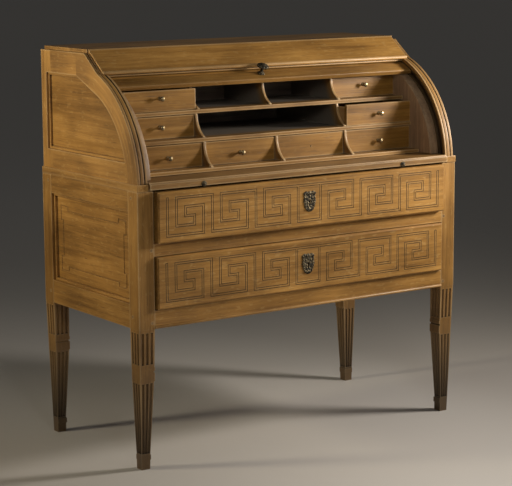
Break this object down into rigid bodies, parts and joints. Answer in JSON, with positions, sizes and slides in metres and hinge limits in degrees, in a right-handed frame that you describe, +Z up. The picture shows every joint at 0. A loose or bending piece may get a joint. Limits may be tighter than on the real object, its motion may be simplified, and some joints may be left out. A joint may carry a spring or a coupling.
{
  "type": "roll top desk",
  "caption": "Oak roll top desk on fluted tapering legs, with long drawers, a sliding writing board, a gallery of small drawers and a slatted roll that turns back over it.",
  "frame": {"origin": "middle of the desk's outline, on the floor", "axes": "+X to the right as one faces the desk, +Y from the front to the back, +Z up"},
  "size_m": [1.098, 0.5504, 1.1211],
  "materials": {
    "oak_case": "satin waxed oak",
    "oak_panel": "satin waxed oak",
    "oak_inside": "plain unpolished oak",
    "oak_gallery": "satin waxed oak",
    "oak_drawer": "satin waxed oak",
    "oak_roll": "satin waxed oak",
    "oak_dark": "dark end grain",
    "brass": "polished",
    "old_brass": "dark tarnished",
    "linen": "plain woven"
  },
  "bodies": {
    "desk": {"post_front_left": "oak_case", "post_front_right": "oak_case", "post_back_left": "oak_case", "post_back_right": "oak_case", "side_rails": "oak_case", "side_panel_left": "oak_panel", "side_panel_right": "oak_panel", "front_rail_bottom": "oak_case", "front_rail_middle": "oak_case", "drawer_runners": "oak_inside", "dust_boards": "oak_inside", "back_boards": "oak_inside", "desk_bed": "oak_inside", "waist_mouldings": "oak_case", "joint_pegs": "oak_dark", "cheek_left": "oak_case", "cheek_right": "oak_case", "cheek_panel_left": "oak_panel", "cheek_panel_right": "oak_panel", "top_board": "oak_case", "slope_board": "oak_case", "gallery_base": "oak_gallery", "gallery_shelf_lower": "oak_gallery", "gallery_shelf_upper": "oak_gallery", "gallery_top": "oak_gallery", "gallery_sides": "oak_gallery", "gallery_backs": "oak_inside", "gallery_dividers": "oak_gallery"},
    "roll": {"roll_rail": "oak_roll", "roll_slats": "oak_roll", "roll_canvas": "linen", "roll_knob": "old_brass"},
    "writing_slide": {"writing_board": "oak_case", "writing_board_pulls": "old_brass"},
    "upper_drawer": {"upper_drawer_front": "oak_drawer", "upper_drawer_box": "oak_inside", "upper_drawer_lock": "brass", "upper_drawer_escutcheon": "old_brass"},
    "upper_bolt": {"upper_drawer_bolt": "brass"},
    "lower_drawer": {"lower_drawer_front": "oak_drawer", "lower_drawer_box": "oak_inside", "lower_drawer_lock": "brass", "lower_drawer_escutcheon": "old_brass"},
    "lower_bolt": {"lower_drawer_bolt": "brass"},
    "small_drawer_top_left": {"drawer_top_left": "oak_gallery", "knob_top_left": "brass"},
    "small_drawer_middle_left": {"drawer_middle_left": "oak_gallery", "knob_middle_left": "brass"},
    "small_drawer_bottom_left": {"drawer_bottom_left": "oak_gallery", "knob_bottom_left": "brass"},
    "small_drawer_bottom_centre_left": {"drawer_bottom_centre_left": "oak_gallery", "knob_bottom_centre_left": "brass"},
    "small_drawer_bottom_centre_right": {"drawer_bottom_centre_right": "oak_gallery"},
    "small_drawer_top_right": {"drawer_top_right": "oak_gallery", "knob_top_right": "brass"},
    "small_drawer_middle_right": {"drawer_middle_right": "oak_gallery", "knob_middle_right": "brass"},
    "small_drawer_bottom_right": {"drawer_bottom_right": "oak_gallery", "knob_bottom_right": "brass"}
  },
  "joints": [
    {"name": "roll_turn", "type": "hinge", "parent": "desk", "child": "roll", "pos_m": [0, 0.07329, 0.76], "axis": [-1, 0, 0], "range_deg": [-54.5, 0]},
    {"name": "writing_slide_pull", "type": "slide", "parent": "desk", "child": "writing_slide", "axis": [0, -1, 0], "range_m": [0, 0.3]},
    {"name": "upper_drawer_pull", "type": "slide", "parent": "desk", "child": "upper_drawer", "axis": [0, -1, 0], "range_m": [-0.007, 0.33]},
    {"name": "upper_bolt_throw", "type": "slide", "parent": "upper_drawer", "child": "upper_bolt", "axis": [0, 0, -1], "range_m": [-0.01, 0]},
    {"name": "lower_drawer_pull", "type": "slide", "parent": "desk", "child": "lower_drawer", "axis": [0, -1, 0], "range_m": [0, 0.34]},
    {"name": "lower_bolt_throw", "type": "slide", "parent": "lower_drawer", "child": "lower_bolt", "axis": [0, 0, -1], "range_m": [-0.01, 0]},
    {"name": "top_left_pull", "type": "slide", "parent": "desk", "child": "small_drawer_top_left", "axis": [0, -1, 0], "range_m": [-0.036, 0.084]},
    {"name": "middle_left_pull", "type": "slide", "parent": "desk", "child": "small_drawer_middle_left", "axis": [0, -1, 0], "range_m": [0, 0.21]},
    {"name": "bottom_left_pull", "type": "slide", "parent": "desk", "child": "small_drawer_bottom_left", "axis": [0, -1, 0], "range_m": [0, 0.24]},
    {"name": "bottom_centre_left_pull", "type": "slide", "parent": "desk", "child": "small_drawer_bottom_centre_left", "axis": [0, -1, 0], "range_m": [0, 0.24]},
    {"name": "bottom_centre_right_pull", "type": "slide", "parent": "desk", "child": "small_drawer_bottom_centre_right", "axis": [0, -1, 0], "range_m": [0, 0.24]},
    {"name": "top_right_pull", "type": "slide", "parent": "desk", "child": "small_drawer_top_right", "axis": [0, -1, 0], "range_m": [0, 0.12]},
    {"name": "middle_right_pull", "type": "slide", "parent": "desk", "child": "small_drawer_middle_right", "axis": [0, -1, 0], "range_m": [-0.042, 0.168]},
    {"name": "bottom_right_pull", "type": "slide", "parent": "desk", "child": "small_drawer_bottom_right", "axis": [0, -1, 0], "range_m": [0, 0.24]}
  ]
}
